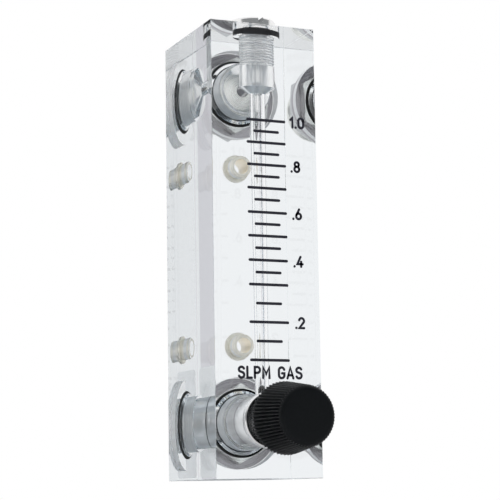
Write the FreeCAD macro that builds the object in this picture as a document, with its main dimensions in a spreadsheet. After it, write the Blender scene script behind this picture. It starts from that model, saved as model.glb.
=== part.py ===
import FreeCAD, Part
import Sketcher
import math
import os

# Panel rotameter: a clear block with a tapered tube bored in it, a ball float, a ball
# stop plug on top, a needle valve at the front and two screwed adapters at the back.
#
# Frame, in millimetres: Z up, the scale and the knob face -Y, and the origin is the
# centre of the block's bottom face.

DIMENSIONS = {
    # clear block
    "block_width": 25.4,
    "block_depth": 28.6,
    "block_height": 101.6,
    "edge_bevel": 0.35,
    # ports at the back, one above the other
    "port_low": 12.7,
    "port_top_margin": 12.7,
    "pocket_radius": 10.4,
    "pocket_depth": 2.6,
    "gland_radius": 7.25,
    "gland_depth": 1.7,
    "port_thread_radius": 6.35,
    "port_thread_depth": 10.4,
    "port_drill_radius": 5.75,
    "port_drill_depth": 12.4,
    "passage_radius": 1.6,
    # metering tube bored down through the block
    "tube_setback": 6.35,
    "tube_low_radius": 1.6,
    "tube_high_radius": 1.9,
    "float_radius": 1.5,
    "float_gap": 0.1,
    # ball stop plug and its bore
    "plug_bore_radius": 4.25,
    "plug_floor_drop": 1.3,
    "plug_seat_radius": 5.6,
    "plug_seat_depth": 2.4,
    "plug_head_radius": 5.4,
    "plug_head_rise": 2.0,
    "plug_head_sink": 0.7,
    "plug_neck_radius": 3.9,
    "plug_thread_length": 6.4,
    "plug_tail_radius": 2.2,
    "plug_tail_length": 4.0,
    "stop_rod_radius": 0.8,
    "stop_rod_length": 6.4,
    "plug_slot_width": 1.2,
    "plug_slot_depth": 1.3,
    # adapters, washers and nuts
    "adapter_hex_across": 15.875,
    "adapter_neck_radius": 5.5,
    "adapter_reach": 9.6,
    "stem_radius": 7.14,
    "stem_length": 11.1,
    "pipe_radius": 4.37,
    "pipe_depth": 8.5,
    "pipe_mouth": 0.8,
    "flow_radius": 2.5,
    "washer_radius": 10.3,
    "washer_thickness": 1.2,
    "nut_across": 17.46,
    "nut_thickness": 4.0,
    # mounting inserts
    "insert_spacing": 41.275,
    "insert_radius": 2.5,
    "insert_length": 6.0,
    "insert_flange_radius": 3.2,
    "insert_flange_thickness": 0.8,
    "insert_hole_radius": 1.75,
    # valve bonnet
    "bonnet_waist_radius": 4.75,
    "bonnet_waist_length": 4.4,
    "bonnet_groove_radius": 4.3,
    "bonnet_groove_length": 1.9,
    "bonnet_land": 1.1,
    "bonnet_nose": 1.6,
    "bonnet_flange_radius": 6.25,
    "bonnet_flange_thickness": 1.0,
    "bonnet_neck_radius": 4.0,
    "bonnet_neck_length": 8.0,
    "bonnet_cross_radius": 1.0,
    "orifice_radius": 1.2,
    # valve stem
    "spindle_radius": 2.38,
    "spindle_groove_radius": 1.55,
    "spindle_groove_length": 1.1,
    "spindle_groove_start": 0.8,
    "spindle_land": 0.8,
    "needle_radius": 1.35,
    "needle_tip_radius": 0.35,
    "needle_taper": 0.28,
    "spigot_radius": 1.6,
    "spigot_length": 6.0,
    # knob
    "knob_gap": 8.0,
    "knob_length": 11.6,
    "knob_back_radius": 7.94,
    "knob_front_radius": 6.4,
    "knob_edge_round": 1.3,
    "knob_recess_radius": 5.2,
    "knob_recess_depth": 3.6,
    "flute_depth": 0.5,
    "flute_width": 0.7,
    "flute_count": 60,
    # running and seating clearances
    "thread_clearance": 0.05,
    "seat_clearance": 0.05,
    "running_clearance": 0.05,
}

DRILL_POINT = math.tan(math.radians(31.0))
HEX_CORNER = 1.0 / math.sqrt(3.0)
HEX_CHAMFER = math.tan(math.radians(30.0))
RING_FLAT = math.cos(math.radians(22.5))


class Size:
    """A length that carries its number and the sheet expression it comes from."""

    def __init__(self, number, text):
        self.number = number
        self.text = text

    def __add__(self, other):
        return joined(self, "+", other, self.number + as_size(other).number)

    def __sub__(self, other):
        return joined(self, "-", other, self.number - as_size(other).number)

    def __mul__(self, other):
        return joined(self, "*", other, self.number * as_size(other).number)

    def __truediv__(self, other):
        return joined(self, "/", other, self.number / as_size(other).number)

    def __neg__(self):
        return self * -1.0


def as_size(value):
    """A Size from a Size or from a plain number."""
    if isinstance(value, Size):
        return value
    return Size(float(value), "({:.9f})".format(value))


def joined(left, sign, right, number):
    """The Size of two values joined by an arithmetic sign."""
    return Size(number, "({} {} {})".format(as_size(left).text, sign, as_size(right).text))


class Sizes:
    """Reads each named dimension back from the sheet as a Size."""

    def __init__(self, sheet):
        for name in DIMENSIONS:
            setattr(self, name, Size(float(sheet.get(name)), "Sizes." + name))
        self.port_high = self.block_height - self.port_top_margin
        self.back = self.block_depth / 2
        self.front = -self.back
        self.tube_y = self.front + self.tube_setback
        self.middle = self.block_height / 2


def make_sheet(doc):
    """The spreadsheet that holds the driving dimensions."""
    sheet = doc.addObject("Spreadsheet::Sheet", "Sizes")
    for row, (name, value) in enumerate(DIMENSIONS.items(), start=1):
        cell = "B{}".format(row)
        sheet.set(cell, str(value))
        sheet.setAlias(cell, name)
    doc.recompute()
    return Sizes(sheet)


# ---------------------------------------------------------------- drawing helpers

def new_body(doc, label):
    """An empty body whose label names the piece."""
    body = doc.addObject("PartDesign::Body", label)
    body.Label = label
    return body


def origin_part(body, role):
    """One of the body's own origin planes or axes."""
    for feature in body.Origin.OriginFeatures:
        if feature.Role == role:
            return feature
    raise ValueError("no origin feature " + role)


def new_sketch(body, plane, name, offset=None):
    """A sketch on an origin plane, moved along the plane's normal by offset."""
    sketch = body.newObject("Sketcher::SketchObject", name)
    sketch.AttachmentSupport = (origin_part(body, plane), [""])
    sketch.MapMode = "FlatFace"
    if offset is not None:
        sketch.setExpression("AttachmentOffset.Base.z", offset.text)
    return sketch


def tie(sketch, kind, geometry, point, value):
    """Hold one coordinate of a sketch point at a sheet value."""
    value = as_size(value)
    if value.number == 0:
        axis = -2 if kind == "DistanceX" else -1
        sketch.addConstraint(Sketcher.Constraint("PointOnObject", geometry, point, axis))
        return
    rule = Sketcher.Constraint(kind, -1, 1, geometry, point, value.number)
    index = sketch.addConstraint(rule)
    sketch.setExpression("Constraints[{}]".format(index), value.text)


def vector_of(point):
    """The plain vector of a point given as two sizes."""
    return FreeCAD.Vector(as_size(point[0]).number, as_size(point[1]).number, 0)


def draw_outline(sketch, points):
    """Draw a closed outline and tie each corner to the sheet."""
    count = len(points)
    first = sketch.GeometryCount
    for index in range(count):
        start = vector_of(points[index])
        end = vector_of(points[(index + 1) % count])
        sketch.addGeometry(Part.LineSegment(start, end), False)
    for index in range(count):
        following = first + (index + 1) % count
        sketch.addConstraint(Sketcher.Constraint("Coincident", first + index, 2, following, 1))
    for index, (across, along) in enumerate(points):
        tie(sketch, "DistanceX", first + index, 1, across)
        tie(sketch, "DistanceY", first + index, 1, along)


def draw_axis(sketch, start, end):
    """Draw a construction line that a groove turns about."""
    index = sketch.addGeometry(Part.LineSegment(vector_of(start), vector_of(end)), True)
    for point, place in ((1, start), (2, end)):
        tie(sketch, "DistanceX", index, point, place[0])
        tie(sketch, "DistanceY", index, point, place[1])


def draw_circle(sketch, centre, radius):
    """Draw a circle with its centre and radius tied to the sheet."""
    shape = Part.Circle(vector_of(centre), FreeCAD.Vector(0, 0, 1), radius.number)
    index = sketch.addGeometry(shape, False)
    tie(sketch, "DistanceX", index, 3, centre[0])
    tie(sketch, "DistanceY", index, 3, centre[1])
    rule = sketch.addConstraint(Sketcher.Constraint("Radius", index, radius.number))
    sketch.setExpression("Constraints[{}]".format(rule), radius.text)


def revolve(body, kind, sketch, axis, name):
    """Turn a sketch right round an axis, adding or cutting."""
    feature = body.newObject("PartDesign::" + kind, name)
    feature.Profile = sketch
    feature.ReferenceAxis = (sketch, [axis])
    feature.Angle = 360.0
    return feature


def extrude(body, kind, sketch, length, name, reverse=False, both=False):
    """Push a sketch along its normal, adding or cutting."""
    feature = body.newObject("PartDesign::" + kind, name)
    feature.Profile = sketch
    feature.setExpression("Length", length.text)
    feature.Reversed = reverse
    feature.Midplane = both
    return feature


def place(piece, x=0, y=0, z=0):
    """Set a piece's place from sizes."""
    for axis, value in (("x", x), ("y", y), ("z", z)):
        piece.setExpression("Placement.Base." + axis, as_size(value).text)


def turned(doc, label, points, plane="XY_Plane"):
    """A piece turned about the vertical axis of its sketch, from (radius, along) points."""
    body = new_body(doc, label)
    sketch = new_sketch(body, plane, label + "_profile")
    draw_outline(sketch, points)
    revolve(body, "Revolution", sketch, "V_Axis", label + "_turning")
    return body


def groove(body, points, name, plane="XY_Plane"):
    """Cut a turned hollow or chamfer about the vertical axis of its sketch."""
    sketch = new_sketch(body, plane, name + "_profile")
    draw_outline(sketch, points)
    return revolve(body, "Groove", sketch, "V_Axis", name)


def ring(doc, label, centre, wire, plane="XY_Plane"):
    """An O-ring with the flats that its groove presses on it."""
    points = []
    for index in range(8):
        turn = math.radians(22.5 + 45 * index)
        across = wire * (math.cos(turn) / RING_FLAT)
        along = wire * (math.sin(turn) / RING_FLAT)
        points.append((centre + across, along))
    return turned(doc, label, points, plane)


def rectangle(low_u, low_v, high_u, high_v):
    """The four corners of a rectangle."""
    return [(low_u, low_v), (high_u, low_v), (high_u, high_v), (low_u, high_v)]


def hexagon(across):
    """Six corners with flats to the sides, one corner up and one down."""
    corner = across * HEX_CORNER
    points = []
    for index in range(6):
        turn = math.radians(30 + 60 * index)
        points.append((corner * math.cos(turn), corner * math.sin(turn)))
    return points


def hex_chamfer(across, face, inward):
    """A ring-shaped cut that takes a hexagon's corners off at 30 degrees."""
    flat = across / 2 * 0.985
    outside = across * 0.7
    depth = (outside - flat) * HEX_CHAMFER * inward
    return [(flat, face), (outside, face), (outside, as_size(face) + depth)]


# ---------------------------------------------------------------- the clear block

def port_hollow(body, sizes, height, name, through):
    """Bore one port from the back: washer pocket, seal gland, thread and drilling."""
    back = sizes.back
    floor = back - sizes.pocket_depth
    gland = floor - sizes.gland_depth
    thread_end = back - sizes.port_thread_depth
    drill_end = back - sizes.port_drill_depth
    sketch = new_sketch(body, "YZ_Plane", name + "_profile")
    points = [
        (back + 1, height),
        (back + 1, height + sizes.pocket_radius),
        (floor, height + sizes.pocket_radius),
        (floor, height + sizes.gland_radius),
        (gland, height + sizes.gland_radius),
        (gland, height + sizes.port_thread_radius),
        (thread_end, height + sizes.port_thread_radius),
        (thread_end, height + sizes.port_drill_radius),
    ]
    if through:
        points.append((sizes.front - 1, height + sizes.port_drill_radius))
        points.append((sizes.front - 1, height))
    else:
        cone = (sizes.port_drill_radius - sizes.passage_radius) * DRILL_POINT
        points.append((drill_end, height + sizes.port_drill_radius))
        points.append((drill_end - cone, height + sizes.passage_radius))
        points.append((sizes.tube_y, height + sizes.passage_radius))
        points.append((sizes.tube_y, height))
    draw_outline(sketch, points)
    draw_axis(sketch, (back + 2, height), (back + 4, height))
    revolve(body, "Groove", sketch, "Axis0", name)


def tube_hollow(body, sizes):
    """Bore the plug seat, the plug chamber and the tapered metering tube from the top."""
    top = sizes.block_height
    axis = sizes.tube_y
    seat = top - sizes.plug_seat_depth
    chamber = sizes.port_high - sizes.plug_floor_drop
    cone = (sizes.plug_bore_radius - sizes.tube_high_radius) * DRILL_POINT
    bottom = sizes.port_low
    sketch = new_sketch(body, "YZ_Plane", "tube_profile")
    points = [
        (axis, top + 1),
        (axis + sizes.plug_seat_radius, top + 1),
        (axis + sizes.plug_seat_radius, seat),
        (axis + sizes.plug_bore_radius, seat),
        (axis + sizes.plug_bore_radius, chamber),
        (axis + sizes.tube_high_radius, chamber - cone),
        (axis + sizes.tube_low_radius, bottom + sizes.bonnet_waist_radius),
        (axis + sizes.tube_low_radius, bottom),
        (axis, bottom),
    ]
    draw_outline(sketch, points)
    draw_axis(sketch, (axis, top + 2), (axis, top + 4))
    revolve(body, "Groove", sketch, "Axis0", "tube_bore")


def insert_hollows(body, sizes):
    """Sink two stepped holes in the back for the mounting inserts."""
    for name, sign in (("low_insert_hole", -1), ("high_insert_hole", 1)):
        height = sizes.middle + sizes.insert_spacing / 2 * sign
        back = sizes.back
        gap = sizes.seat_clearance
        radius = sizes.insert_radius + gap
        flange = sizes.insert_flange_radius + gap
        step = back - sizes.insert_flange_thickness
        end = back - sizes.insert_length - gap
        sketch = new_sketch(body, "YZ_Plane", name + "_profile")
        draw_outline(sketch, [
            (back + 1, height),
            (back + 1, height + flange),
            (step, height + flange),
            (step, height + radius),
            (end, height + radius),
            (end - radius * DRILL_POINT, height),
        ])
        draw_axis(sketch, (back + 2, height), (back + 4, height))
        revolve(body, "Groove", sketch, "Axis0", name)


def build_block(doc, sizes):
    """The clear block with every bore in it."""
    body = new_body(doc, "body_block")
    footprint = new_sketch(body, "XY_Plane", "block_footprint")
    half = sizes.block_width / 2
    draw_outline(footprint, rectangle(-half, sizes.front, half, sizes.back))
    pad = extrude(body, "Pad", footprint, sizes.block_height, "block_pad")
    doc.recompute()
    edges = body.newObject("PartDesign::Chamfer", "block_edges")
    edges.Base = (pad, ["Edge{}".format(index) for index in range(1, 13)])
    edges.setExpression("Size", sizes.edge_bevel.text)
    doc.recompute()
    port_hollow(body, sizes, sizes.port_high, "upper_port", False)
    port_hollow(body, sizes, sizes.port_low, "lower_port", True)
    tube_hollow(body, sizes)
    insert_hollows(body, sizes)
    return body


# ---------------------------------------------------------------- plug and float

def build_plug(doc, sizes):
    """The slotted ball stop plug with its thin stop rod."""
    neck_end = -sizes.plug_seat_depth
    thread_end = neck_end - sizes.plug_thread_length
    tail_end = thread_end - sizes.plug_tail_length
    rod_end = tail_end - sizes.stop_rod_length
    thread_radius = sizes.plug_bore_radius - sizes.thread_clearance
    rise = sizes.plug_head_rise
    bevel = 0.35
    plug = turned(doc, "top_plug", [
        (0, rod_end),
        (sizes.stop_rod_radius, rod_end),
        (sizes.stop_rod_radius, tail_end),
        (sizes.plug_tail_radius, tail_end),
        (sizes.plug_tail_radius, thread_end),
        (thread_radius - bevel, thread_end),
        (thread_radius, thread_end + bevel),
        (thread_radius, neck_end),
        (sizes.plug_neck_radius, neck_end),
        (sizes.plug_neck_radius, -sizes.plug_head_sink),
        (sizes.plug_head_radius, -sizes.plug_head_sink),
        (sizes.plug_head_radius, rise - bevel),
        (sizes.plug_head_radius - bevel, rise),
        (0, rise),
    ], "XZ_Plane")
    half = sizes.plug_slot_width / 2
    slot = new_sketch(plug, "XZ_Plane", "coin_slot_outline")
    draw_outline(slot, rectangle(-half, rise - sizes.plug_slot_depth, half, rise + 1))
    extrude(plug, "Pocket", slot, sizes.plug_head_radius * 3, "coin_slot", both=True)
    place(plug, y=sizes.tube_y, z=sizes.block_height)
    return plug


def build_plug_seal(doc, sizes):
    """The O-ring squeezed under the plug's head."""
    room = sizes.plug_seat_depth - sizes.plug_head_sink
    wire = room / 2 - sizes.seat_clearance
    centre = sizes.plug_neck_radius + wire + sizes.seat_clearance
    seal = ring(doc, "plug_o_ring", centre, wire, "XZ_Plane")
    height = sizes.block_height - sizes.plug_head_sink - room / 2
    place(seal, y=sizes.tube_y, z=height)
    return seal


def build_float(doc, sizes):
    """The ball float, resting on the bonnet's waist at the foot of the tube."""
    ball = doc.addObject("Part::Sphere", "float_ball")
    ball.Label = "float_ball"
    ball.setExpression("Radius", sizes.float_radius.text)
    height = sizes.port_low + sizes.bonnet_waist_radius + sizes.float_radius + sizes.float_gap
    place(ball, y=sizes.tube_y, z=height)
    return ball


# ---------------------------------------------------------------- back connections

def build_adapter(doc, sizes, label, height):
    """A screwed adapter: thread into the block, hexagon, panel thread and pipe port."""
    nose = -sizes.adapter_reach + sizes.pocket_depth
    neck = -sizes.gland_depth
    hex_end = sizes.pocket_depth
    stem_end = hex_end + sizes.stem_length
    thread_radius = sizes.port_thread_radius - sizes.thread_clearance
    bevel = 0.6
    adapter = turned(doc, label, [
        (0, nose),
        (thread_radius - bevel, nose),
        (thread_radius, nose + bevel),
        (thread_radius, neck),
        (sizes.adapter_neck_radius, neck),
        (sizes.adapter_neck_radius, 0),
        (sizes.stem_radius, 0),
        (sizes.stem_radius, stem_end - bevel),
        (sizes.stem_radius - bevel, stem_end),
        (0, stem_end),
    ])
    outline = new_sketch(adapter, "XZ_Plane", label + "_hex_outline")
    draw_outline(outline, hexagon(sizes.adapter_hex_across))
    extrude(adapter, "Pad", outline, hex_end, label + "_hex", reverse=True)
    groove(adapter, hex_chamfer(sizes.adapter_hex_across, hex_end, -1), label + "_hex_bevel")
    pipe_end = stem_end - sizes.pipe_depth
    cone = (sizes.pipe_radius - sizes.flow_radius) * DRILL_POINT
    groove(adapter, [
        (0, stem_end + 1),
        (sizes.pipe_radius + sizes.pipe_mouth + 1, stem_end + 1),
        (sizes.pipe_radius, stem_end - sizes.pipe_mouth),
        (sizes.pipe_radius, pipe_end),
        (sizes.flow_radius, pipe_end - cone),
        (sizes.flow_radius, nose - 1),
        (0, nose - 1),
    ], label + "_bore")
    place(adapter, y=sizes.back - sizes.pocket_depth, z=height)
    return adapter


def build_adapter_seal(doc, sizes, label, height):
    """The O-ring in the gland between the adapter's hexagon and the block."""
    wire = sizes.gland_depth / 2 - sizes.seat_clearance
    centre = sizes.gland_radius - wire - sizes.seat_clearance
    seal = ring(doc, label, centre, wire)
    place(seal, y=sizes.back - sizes.pocket_depth - sizes.gland_depth / 2, z=height)
    return seal


def build_washer(doc, sizes, label, height):
    """The plain washer that bears on the back of the block or panel."""
    hole = sizes.stem_radius + sizes.thread_clearance * 4
    edge = sizes.washer_radius
    thick = sizes.washer_thickness
    bevel = 0.2
    washer = turned(doc, label, [
        (hole, 0),
        (edge, 0),
        (edge, thick - bevel),
        (edge - bevel, thick),
        (hole, thick),
    ])
    place(washer, y=sizes.back, z=height)
    return washer


def build_nut(doc, sizes, label, height):
    """The hexagon nut on the panel thread."""
    nut = new_body(doc, label)
    outline = new_sketch(nut, "XZ_Plane", label + "_outline")
    draw_outline(outline, hexagon(sizes.nut_across))
    thick = sizes.nut_thickness
    extrude(nut, "Pad", outline, thick, label + "_hex", reverse=True)
    groove(nut, hex_chamfer(sizes.nut_across, thick, -1), label + "_back_bevel")
    groove(nut, hex_chamfer(sizes.nut_across, 0, 1), label + "_front_bevel")
    hole = sizes.stem_radius + sizes.thread_clearance
    bevel = 0.5
    groove(nut, [
        (0, -1),
        (hole + bevel + 1, -1),
        (hole, bevel),
        (hole, thick - bevel),
        (hole + bevel + 1, thick + 1),
        (0, thick + 1),
    ], label + "_hole")
    place(nut, y=sizes.back + sizes.washer_thickness, z=height)
    return nut


def build_insert(doc, sizes, label, height):
    """A flanged mounting insert with a groove between its two knurled bands."""
    long = sizes.insert_length
    step = sizes.insert_flange_thickness
    outer = sizes.insert_radius
    hole = sizes.insert_hole_radius
    waist = 0.35
    band = (long - step) / 3
    bevel = 0.3
    insert = turned(doc, label, [
        (hole + bevel, 0),
        (sizes.insert_flange_radius, 0),
        (sizes.insert_flange_radius, -step),
        (outer, -step),
        (outer, -step - band),
        (outer - waist, -step - band),
        (outer - waist, -step - band * 2),
        (outer, -step - band * 2),
        (outer, -long + bevel),
        (outer - bevel, -long),
        (hole, -long),
        (hole, -bevel),
    ])
    place(insert, y=sizes.back, z=height)
    return insert


def build_back_pieces(doc, sizes):
    """Adapters, seals, washers, nuts and inserts, upper and lower."""
    pieces = []
    for side, height in (("upper", sizes.port_high), ("lower", sizes.port_low)):
        pieces.append(build_adapter(doc, sizes, side + "_adapter", height))
        pieces.append(build_adapter_seal(doc, sizes, side + "_adapter_o_ring", height))
        pieces.append(build_washer(doc, sizes, side + "_panel_washer", height))
        pieces.append(build_nut(doc, sizes, side + "_panel_nut", height))
    for side, sign in (("upper", 1), ("lower", -1)):
        height = sizes.middle + sizes.insert_spacing / 2 * sign
        pieces.append(build_insert(doc, sizes, side + "_mount_insert", height))
    return pieces


# ---------------------------------------------------------------- needle valve

class ValveStations:
    """Places along the valve's axis, measured back from the block's front face."""

    def __init__(self, sizes):
        self.waist_start = sizes.tube_setback - sizes.bonnet_waist_length / 2
        self.waist_end = sizes.tube_setback + sizes.bonnet_waist_length / 2
        self.front_groove = self.waist_start - sizes.bonnet_land - sizes.bonnet_groove_length
        self.back_groove = self.waist_end + sizes.bonnet_land
        self.seat_end = self.back_groove + sizes.bonnet_groove_length + sizes.bonnet_land
        self.nose_end = self.seat_end + sizes.bonnet_nose
        self.neck_end = -sizes.bonnet_flange_thickness - sizes.bonnet_neck_length
        self.bore = sizes.spindle_radius + sizes.running_clearance
        self.knob_back = -sizes.knob_gap
        self.knob_floor = -sizes.knob_gap - sizes.knob_recess_depth
        self.knob_front = -sizes.knob_gap - sizes.knob_length


def build_bonnet(doc, sizes, at):
    """The bonnet pressed into the front bore, with two seal grooves and a waist."""
    body_radius = sizes.port_drill_radius - sizes.seat_clearance
    groove_radius = sizes.bonnet_groove_radius
    waist = sizes.bonnet_waist_radius
    flange = sizes.bonnet_flange_radius
    flange_front = -sizes.bonnet_flange_thickness
    bevel = 0.3
    bonnet = turned(doc, "valve_bonnet", [
        (0, at.neck_end),
        (sizes.bonnet_neck_radius - bevel, at.neck_end),
        (sizes.bonnet_neck_radius, at.neck_end + bevel),
        (sizes.bonnet_neck_radius, flange_front),
        (flange - bevel, flange_front),
        (flange, flange_front + bevel),
        (flange, 0),
        (body_radius, 0),
        (body_radius, at.front_groove),
        (groove_radius, at.front_groove),
        (groove_radius, at.front_groove + sizes.bonnet_groove_length),
        (body_radius, at.front_groove + sizes.bonnet_groove_length),
        (body_radius, at.waist_start),
        (waist, at.waist_start),
        (waist, at.waist_end),
        (body_radius, at.waist_end),
        (body_radius, at.back_groove),
        (groove_radius, at.back_groove),
        (groove_radius, at.back_groove + sizes.bonnet_groove_length),
        (body_radius, at.back_groove + sizes.bonnet_groove_length),
        (body_radius, at.seat_end),
        (body_radius - sizes.bonnet_nose, at.nose_end),
        (0, at.nose_end),
    ])
    groove(bonnet, [
        (0, at.neck_end - 1),
        (at.bore, at.neck_end - 1),
        (at.bore, at.back_groove),
        (sizes.orifice_radius, at.back_groove + (at.bore - sizes.orifice_radius)),
        (sizes.orifice_radius, at.nose_end + 1),
        (0, at.nose_end + 1),
    ], "bonnet_bore")
    cross = new_sketch(bonnet, "YZ_Plane", "cross_hole_outline")
    draw_circle(cross, (sizes.tube_setback, 0), sizes.bonnet_cross_radius)
    extrude(bonnet, "Pocket", cross, waist * 3, "cross_hole", both=True)
    place(bonnet, y=sizes.front, z=sizes.port_low)
    return bonnet


def build_bonnet_seals(doc, sizes, at):
    """The two O-rings in the bonnet's grooves."""
    room = sizes.port_drill_radius - sizes.bonnet_groove_radius
    wire = room / 2 - sizes.seat_clearance
    centre = sizes.bonnet_groove_radius + room / 2
    seals = []
    for label, start in (("front", at.front_groove), ("back", at.back_groove)):
        seal = ring(doc, "bonnet_{}_o_ring".format(label), centre, wire)
        middle = start + sizes.bonnet_groove_length / 2
        place(seal, y=sizes.front + middle, z=sizes.port_low)
        seals.append(seal)
    return seals


def build_stem(doc, sizes, at):
    """The valve stem: knob spigot, screwed length, seal groove and needle."""
    spigot_end = at.knob_floor - sizes.spigot_length
    groove_start = sizes.spindle_groove_start
    groove_end = groove_start + sizes.spindle_groove_length
    shank = groove_end + sizes.spindle_land
    mouth = at.back_groove + (at.bore - sizes.orifice_radius)
    mouth_radius = sizes.orifice_radius - sizes.running_clearance
    taper_start = mouth - (sizes.needle_radius - mouth_radius) / sizes.needle_taper
    tip = mouth + (mouth_radius - sizes.needle_tip_radius) / sizes.needle_taper
    stem = turned(doc, "valve_stem", [
        (0, spigot_end),
        (sizes.spigot_radius, spigot_end),
        (sizes.spigot_radius, at.knob_floor),
        (sizes.spindle_radius, at.knob_floor),
        (sizes.spindle_radius, groove_start),
        (sizes.spindle_groove_radius, groove_start),
        (sizes.spindle_groove_radius, groove_end),
        (sizes.spindle_radius, groove_end),
        (sizes.spindle_radius, shank),
        (sizes.needle_radius, shank),
        (sizes.needle_radius, taper_start),
        (sizes.needle_tip_radius, tip),
        (0, tip),
    ])
    place(stem, y=sizes.front, z=sizes.port_low)
    return stem


def build_stem_seal(doc, sizes, at):
    """The O-ring in the stem's groove, which rides in and out with the stem."""
    room = at.bore - sizes.spindle_groove_radius
    wire = room / 2 - sizes.running_clearance
    centre = sizes.spindle_groove_radius + room / 2
    seal = ring(doc, "stem_o_ring", centre, wire)
    middle = sizes.spindle_groove_start + sizes.spindle_groove_length / 2
    place(seal, y=sizes.front + middle, z=sizes.port_low)
    return seal


def flute_outline(body, name, station, radius, depth, half_width):
    """One V outline across the top of the knob, wider than the skin it cuts."""
    sketch = new_sketch(body, "XZ_Plane", name, -station)
    above = depth * 0.5
    spread = half_width * 1.5
    draw_outline(sketch, [
        (0, radius - depth),
        (spread, radius + above),
        (-spread, radius + above),
    ])
    return sketch


def rim_name(shape, station, radius):
    """The name of the round edge that lies at one station with one radius."""
    for index, edge in enumerate(shape.Edges, start=1):
        curve = edge.Curve
        if isinstance(curve, Part.Circle):
            if abs(curve.Center.y - station.number) < 0.01:
                if abs(curve.Radius - radius.number) < 0.01:
                    return "Edge{}".format(index)
    raise ValueError("no round edge there")


def build_knob(doc, sizes, at):
    """The tapered knob with its ring of fine flutes."""
    hole = sizes.spigot_radius + sizes.seat_clearance / 2
    hole_end = at.knob_floor - sizes.spigot_length - sizes.running_clearance
    knob = turned(doc, "knob", [
        (hole, at.knob_floor),
        (sizes.knob_recess_radius, at.knob_floor),
        (sizes.knob_recess_radius, at.knob_back),
        (sizes.knob_back_radius, at.knob_back),
        (sizes.knob_front_radius, at.knob_front),
        (0, at.knob_front),
        (0, hole_end),
        (hole, hole_end),
    ])
    doc.recompute()
    turning = knob.Tip
    edge = knob.newObject("PartDesign::Fillet", "knob_front_edge")
    edge.Base = (turning, [rim_name(turning.Shape, at.knob_front, sizes.knob_front_radius)])
    edge.setExpression("Radius", sizes.knob_edge_round.text)
    doc.recompute()
    half = sizes.flute_width / 2
    share = sizes.knob_front_radius / sizes.knob_back_radius
    back = flute_outline(knob, "flute_back", at.knob_back + 0.01, sizes.knob_back_radius,
                         sizes.flute_depth, half)
    front = flute_outline(knob, "flute_front", at.knob_front - 0.01, sizes.knob_front_radius,
                          sizes.flute_depth * share, half * share)
    flute = knob.newObject("PartDesign::SubtractiveLoft", "flute")
    flute.Profile = back
    flute.Sections = [front]
    flute.Ruled = True
    doc.recompute()
    flutes = knob.newObject("PartDesign::PolarPattern", "flutes")
    flutes.Originals = [flute]
    flutes.Axis = (origin_part(knob, "Y_Axis"), [""])
    flutes.Angle = 360.0
    flutes.setExpression("Occurrences", sizes.flute_count.text)
    knob.Tip = flutes
    place(knob, y=sizes.front, z=sizes.port_low)
    return knob


# ---------------------------------------------------------------- the whole part

def build(doc, sizes):
    """Every piece, in the order in which it would be put together."""
    at = ValveStations(sizes)
    pieces = [build_block(doc, sizes)]
    pieces.append(build_plug(doc, sizes))
    pieces.append(build_plug_seal(doc, sizes))
    pieces.append(build_float(doc, sizes))
    pieces.extend(build_back_pieces(doc, sizes))
    pieces.append(build_bonnet(doc, sizes, at))
    pieces.extend(build_bonnet_seals(doc, sizes, at))
    pieces.append(build_stem(doc, sizes, at))
    pieces.append(build_stem_seal(doc, sizes, at))
    pieces.append(build_knob(doc, sizes, at))
    doc.recompute()
    return pieces


def check(doc, pieces):
    """Stop if any feature failed or any piece is not one sound solid."""
    for thing in doc.Objects:
        if "Invalid" in thing.State or "Error" in thing.State:
            raise RuntimeError("feature failed: " + thing.Name)
    for piece in pieces:
        shape = piece.Shape
        if shape.isNull() or not shape.isValid() or len(shape.Solids) != 1:
            raise RuntimeError("bad solid: " + piece.Label)


def main():
    """Build the document, check it and write one STEP file for each piece."""
    doc = FreeCAD.newDocument("rotameter")
    sizes = make_sheet(doc)
    pieces = build(doc, sizes)
    check(doc, pieces)
    os.makedirs("parts", exist_ok=True)
    for piece in pieces:
        piece.Shape.exportStep("parts/{}.step".format(piece.Label))


main()
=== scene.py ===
import math

import bmesh
import bpy
import numpy as np
from bpy.props import (FloatProperty, FloatVectorProperty, IntProperty, PointerProperty,
                       StringProperty)
from mathutils import Matrix, Vector


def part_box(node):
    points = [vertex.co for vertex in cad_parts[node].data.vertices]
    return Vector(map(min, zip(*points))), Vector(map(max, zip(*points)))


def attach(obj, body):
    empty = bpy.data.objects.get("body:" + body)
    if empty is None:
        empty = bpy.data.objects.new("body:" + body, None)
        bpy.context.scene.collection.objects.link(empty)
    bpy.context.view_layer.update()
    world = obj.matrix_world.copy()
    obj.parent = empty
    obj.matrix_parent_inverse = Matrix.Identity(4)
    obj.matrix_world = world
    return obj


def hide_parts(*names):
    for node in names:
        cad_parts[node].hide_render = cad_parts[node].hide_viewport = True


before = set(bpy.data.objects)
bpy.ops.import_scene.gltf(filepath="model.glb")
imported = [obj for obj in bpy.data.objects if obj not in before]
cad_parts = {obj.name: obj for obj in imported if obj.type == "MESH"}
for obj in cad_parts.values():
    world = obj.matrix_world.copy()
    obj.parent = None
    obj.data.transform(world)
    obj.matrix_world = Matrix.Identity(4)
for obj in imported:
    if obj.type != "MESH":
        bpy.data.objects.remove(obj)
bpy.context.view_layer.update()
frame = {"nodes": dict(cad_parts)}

bl_info = {
    "name": "Clear Block Rotameter",
    "version": (1, 0, 0),
    "blender": (4, 5, 0),
    "location": "View3D > Sidebar > Rotameter",
    "description": "Makes a clear block rotameter: block, plug, adapters, seals, knob and scale",
    "category": "Add Mesh",
}

MM = 0.001
TURN = 2.0 * math.pi

# ------------ places, in metres

BLOCK_LOW, BLOCK_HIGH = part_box("body_block")
FRONT = BLOCK_LOW[1]
BACK = BLOCK_HIGH[1]
TOP = BLOCK_HIGH[2]
RIGHT = BLOCK_HIGH[0]


def centre_of(node):
    """The middle of a CAD node's box."""
    return [0.5 * (a + b) for a, b in zip(*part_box(node))]


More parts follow.
